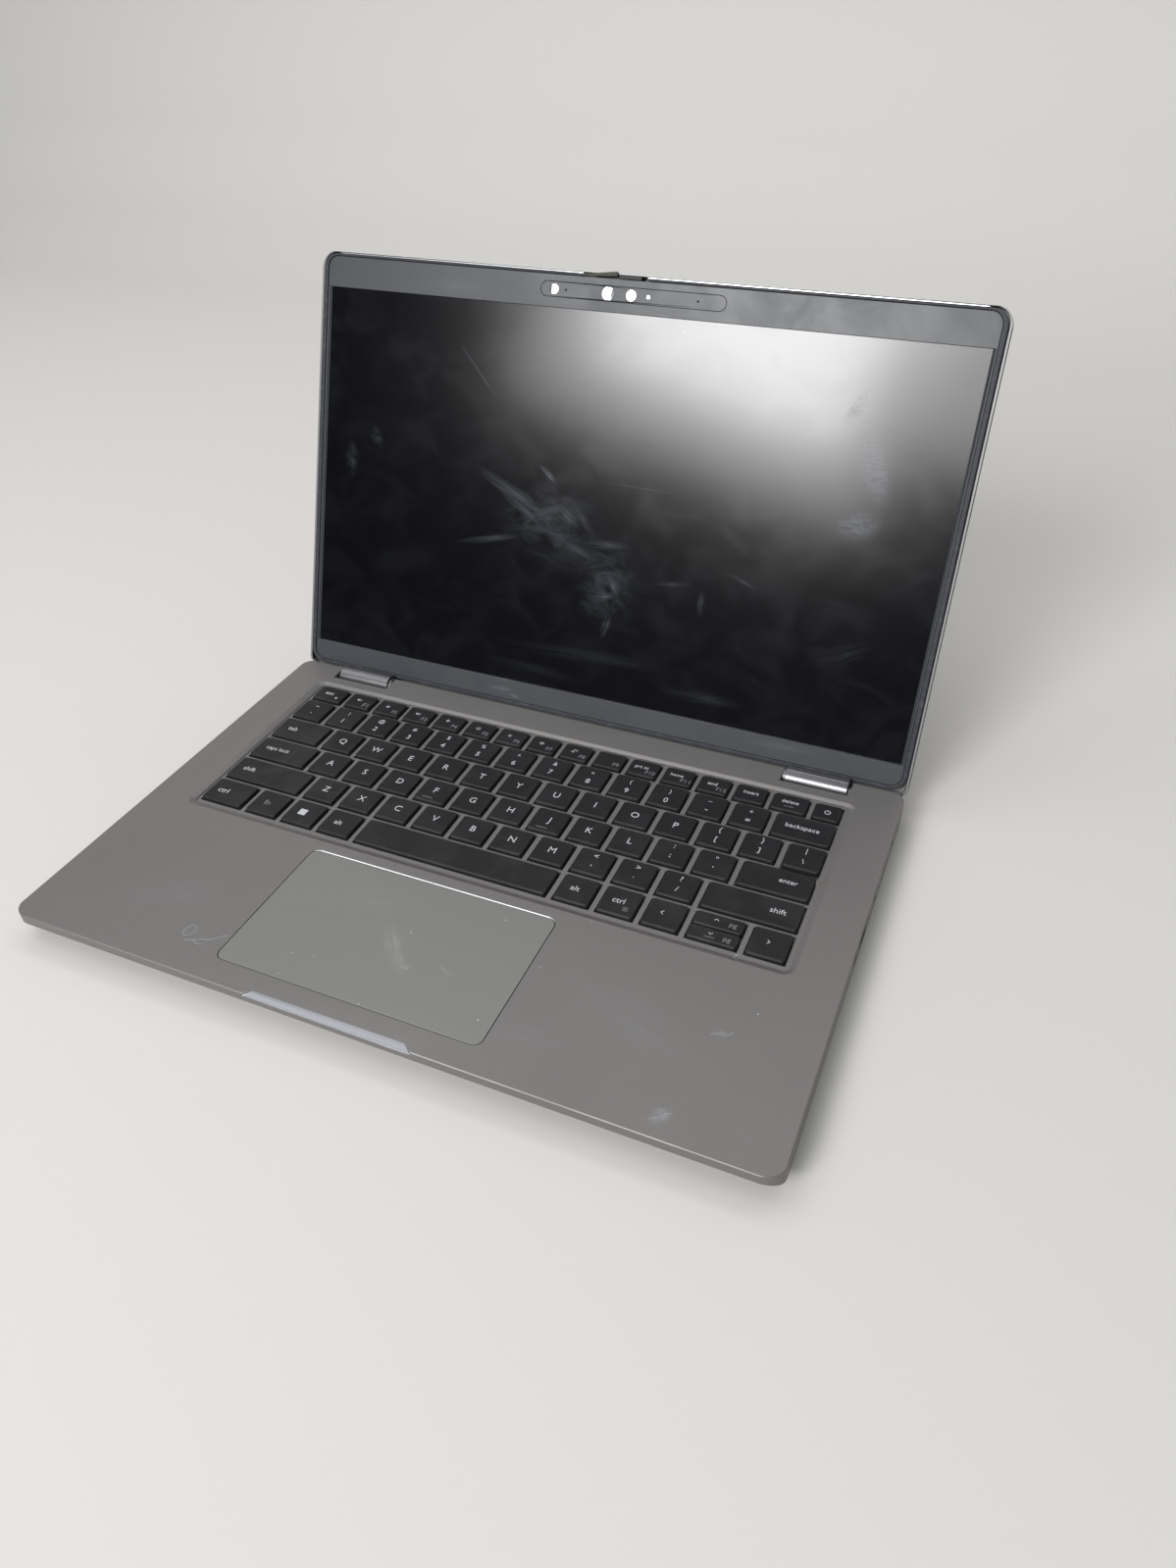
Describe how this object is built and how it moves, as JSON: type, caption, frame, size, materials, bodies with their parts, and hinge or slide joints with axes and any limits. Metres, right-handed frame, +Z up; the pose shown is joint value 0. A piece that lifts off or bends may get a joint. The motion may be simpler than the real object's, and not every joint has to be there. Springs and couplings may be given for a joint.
{
  "type": "broken laptop",
  "caption": "Open business laptop with its lid leaned back past upright, a dark smeared screen, and the rubber trim broken and lifted at the top middle of the lid.",
  "frame": {"origin": "middle of the whole open laptop's box, on the floor under its feet", "axes": "+X to the user's right, +Y away from the user towards the lid, +Z up"},
  "size_m": [0.3214, 0.2864, 0.2046],
  "materials": {
    "case_grey": "satin metallic grey paint with fine sparkle, finger marks and residue",
    "base_shell": "matt dark grey moulded shell",
    "foot_rubber": "matt black rubber",
    "screw_steel": "dark plated steel",
    "keycap": "matt black keycaps, slightly polished by use",
    "membrane": "pale silicone sheet",
    "sheet_steel": "pressed steel",
    "touchpad": "smooth satin grey, smeared",
    "hinge_silver": "silver satin with small scuffs",
    "hinge_steel": "dark steel",
    "circuit": "dark green circuit board",
    "copper": "bare copper and fins",
    "black_plastic": "matt black plastic",
    "battery": "black wrapped cells",
    "cell_steel": "bright steel",
    "socket_metal": "plated socket shells",
    "lid_grey": "satin light grey",
    "bezel": "matt dark blue-grey, fine grain",
    "trim_rubber": "dark grey rubber, broken and lifted at the middle",
    "screen": "matt black screen, smeared and scratched",
    "lens_glass": "glossy dark windows",
    "antenna": "thin metal foil"
  },
  "bodies": {
    "base": {"palmrest_cover": "case_grey", "bottom_cover": "base_shell", "front_feet": "foot_rubber", "rear_foot": "foot_rubber", "bottom_screws": "screw_steel", "keyboard_lattice": "case_grey", "keyboard_plate": "sheet_steel", "keyboard_membrane": "membrane", "touchpad_bracket": "sheet_steel", "hinge_bracket_left": "hinge_steel", "hinge_bracket_right": "hinge_steel", "system_board": "circuit", "heatsink": "copper", "fan_housing": "black_plastic", "battery_pack": "battery", "ssd_module": "circuit", "memory_module": "circuit", "wireless_card": "circuit", "coin_cell": "cell_steel", "speakers": "black_plastic", "usb_c_ports": "socket_metal", "usb_a_ports": "socket_metal", "video_port": "socket_metal", "network_port": "black_plastic", "audio_jack": "black_plastic", "card_reader": "socket_metal"},
    "lid": {"lid_back_cover": "lid_grey", "display_bezel": "bezel", "lid_edge_trim": "trim_rubber", "lcd_panel": "screen", "camera_cover": "bezel", "camera_lens": "lens_glass", "infrared_lens": "lens_glass", "infrared_lamp": "lens_glass", "camera_light": "lens_glass", "camera_module": "circuit", "lid_antennas": "antenna", "display_cable": "black_plastic", "hinge_pins": "screw_steel", "hinge_arm_left": "hinge_steel", "hinge_arm_right": "hinge_steel", "hinge_cap_left": "hinge_silver", "hinge_cap_right": "hinge_silver"},
    "shutter": {"camera_shutter": "black_plastic"},
    "touchpad": {"touchpad_plate": "touchpad"},
    "fan": {"fan_rotor": "black_plastic"},
    "function_keys": {"function_keys": "keycap"},
    "power_button": {"power_button": "keycap"},
    "number_keys": {"number_keys": "keycap"},
    "backspace_key": {"backspace_key": "keycap"},
    "upper_letter_keys": {"upper_letter_keys": "keycap"},
    "home_letter_keys": {"home_letter_keys": "keycap"},
    "enter_key": {"enter_key": "keycap"},
    "lower_letter_keys": {"lower_letter_keys": "keycap"},
    "left_shift_key": {"left_shift_key": "keycap"},
    "right_shift_key": {"right_shift_key": "keycap"},
    "modifier_keys": {"modifier_keys": "keycap"},
    "space_bar": {"space_bar": "keycap"},
    "arrow_keys": {"arrow_keys": "keycap"}
  },
  "joints": [
    {"name": "lid_hinge", "type": "hinge", "parent": "base", "child": "lid", "pos_m": [0, 0.06331, 0.0111], "axis": [-1, 0, 0], "range_deg": [-110.12, 69.88]},
    {"name": "shutter_slide", "type": "slide", "parent": "lid", "child": "shutter", "axis": [1, 0, 0], "range_m": [0, 0.0028]},
    {"name": "touchpad_click", "type": "hinge", "parent": "base", "child": "touchpad", "pos_m": [-0.00946, -0.06404, 0.0126], "axis": [1, 0, 0], "range_deg": [0, 0.4], "stiffness_Nm_per_rad": 4, "springref_deg": -0.46},
    {"name": "fan_spin", "type": "hinge", "parent": "base", "child": "fan", "pos_m": [-0.07, 0.02276, 0.0056], "axis": [0, 0, 1], "continuous": true},
    {"name": "function_keys_press", "type": "slide", "parent": "base", "child": "function_keys", "axis": [0, 0, -1], "range_m": [0, 0.0013], "stiffness_N_per_m": 400, "springref_m": -0.001},
    {"name": "power_button_press", "type": "slide", "parent": "base", "child": "power_button", "axis": [0, 0, -1], "range_m": [0, 0.0013], "stiffness_N_per_m": 400, "springref_m": -0.001},
    {"name": "number_keys_press", "type": "slide", "parent": "base", "child": "number_keys", "axis": [0, 0, -1], "range_m": [0, 0.0013], "stiffness_N_per_m": 400, "springref_m": -0.001},
    {"name": "backspace_key_press", "type": "slide", "parent": "base", "child": "backspace_key", "axis": [0, 0, -1], "range_m": [0, 0.0013], "stiffness_N_per_m": 400, "springref_m": -0.001},
    {"name": "upper_letter_keys_press", "type": "slide", "parent": "base", "child": "upper_letter_keys", "axis": [0, 0, -1], "range_m": [0, 0.0013], "stiffness_N_per_m": 400, "springref_m": -0.001},
    {"name": "home_letter_keys_press", "type": "slide", "parent": "base", "child": "home_letter_keys", "axis": [0, 0, -1], "range_m": [0, 0.0013], "stiffness_N_per_m": 400, "springref_m": -0.001},
    {"name": "enter_key_press", "type": "slide", "parent": "base", "child": "enter_key", "axis": [0, 0, -1], "range_m": [0, 0.0013], "stiffness_N_per_m": 400, "springref_m": -0.001},
    {"name": "lower_letter_keys_press", "type": "slide", "parent": "base", "child": "lower_letter_keys", "axis": [0, 0, -1], "range_m": [0, 0.0013], "stiffness_N_per_m": 400, "springref_m": -0.001},
    {"name": "left_shift_key_press", "type": "slide", "parent": "base", "child": "left_shift_key", "axis": [0, 0, -1], "range_m": [0, 0.0013], "stiffness_N_per_m": 400, "springref_m": -0.001},
    {"name": "right_shift_key_press", "type": "slide", "parent": "base", "child": "right_shift_key", "axis": [0, 0, -1], "range_m": [0, 0.0013], "stiffness_N_per_m": 400, "springref_m": -0.001},
    {"name": "modifier_keys_press", "type": "slide", "parent": "base", "child": "modifier_keys", "axis": [0, 0, -1], "range_m": [0, 0.0013], "stiffness_N_per_m": 400, "springref_m": -0.001},
    {"name": "space_bar_press", "type": "slide", "parent": "base", "child": "space_bar", "axis": [0, 0, -1], "range_m": [0, 0.0013], "stiffness_N_per_m": 400, "springref_m": -0.001},
    {"name": "arrow_keys_press", "type": "slide", "parent": "base", "child": "arrow_keys", "axis": [0, 0, -1], "range_m": [0, 0.0013], "stiffness_N_per_m": 400, "springref_m": -0.001}
  ]
}
